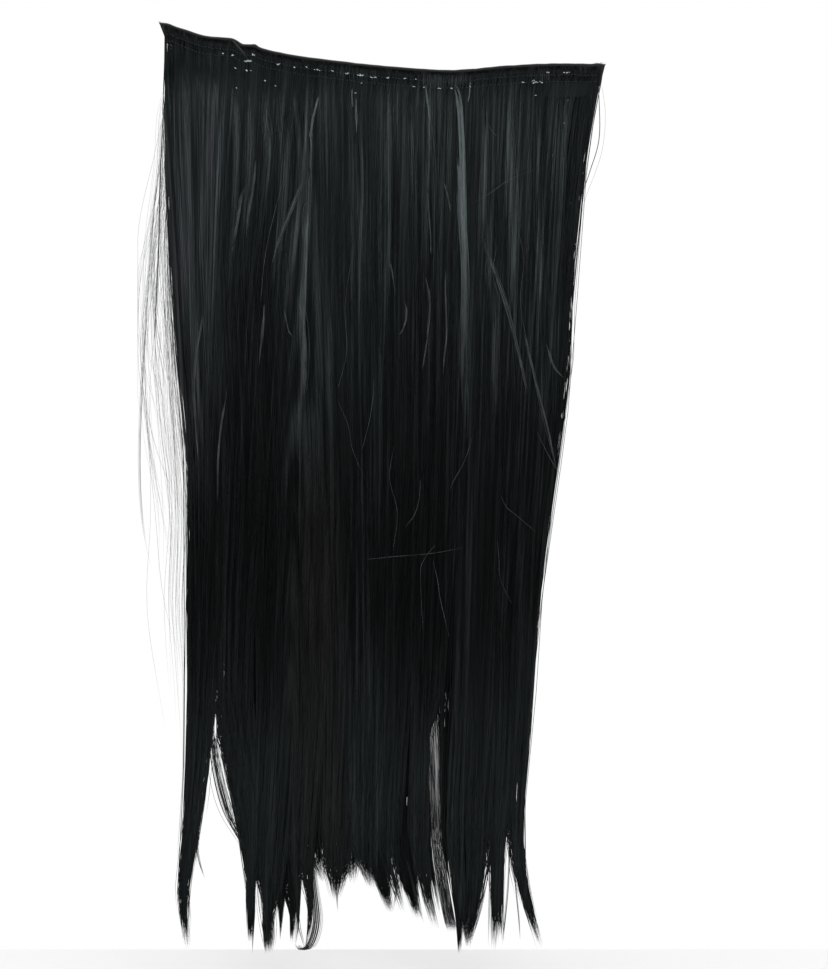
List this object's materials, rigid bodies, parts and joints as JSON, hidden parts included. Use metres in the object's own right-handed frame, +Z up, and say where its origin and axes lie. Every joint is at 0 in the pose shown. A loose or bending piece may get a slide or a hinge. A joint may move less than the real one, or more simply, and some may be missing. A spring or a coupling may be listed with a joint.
{
  "type": "clip-in hair extension",
  "caption": "Wide straight one-piece hair weft on a sewn band with comb clips behind, to clip in under the wearer's own hair.",
  "frame": {"origin": "on the head side of the middle comb clip, halfway along the band, where the piece takes hold", "axes": "+Z up along the hanging hair towards the band, +X to the right of the front view, +Y towards the wearer's head, the front faces -Y"},
  "size_m": [0.291, 0.0093, 0.6081],
  "materials": {
    "hair": "glossy straight black fibre",
    "band": "stitched black weft",
    "clip": "dark satin lacquer"
  },
  "bodies": {
    "root": {"weft_band": "band", "hair_row_upper": "hair", "hair_row_lower": "hair", "clip_1": "clip", "clip_2": "clip", "clip_3": "clip", "clip_4": "clip", "clip_5": "clip"}
  },
  "joints": []
}
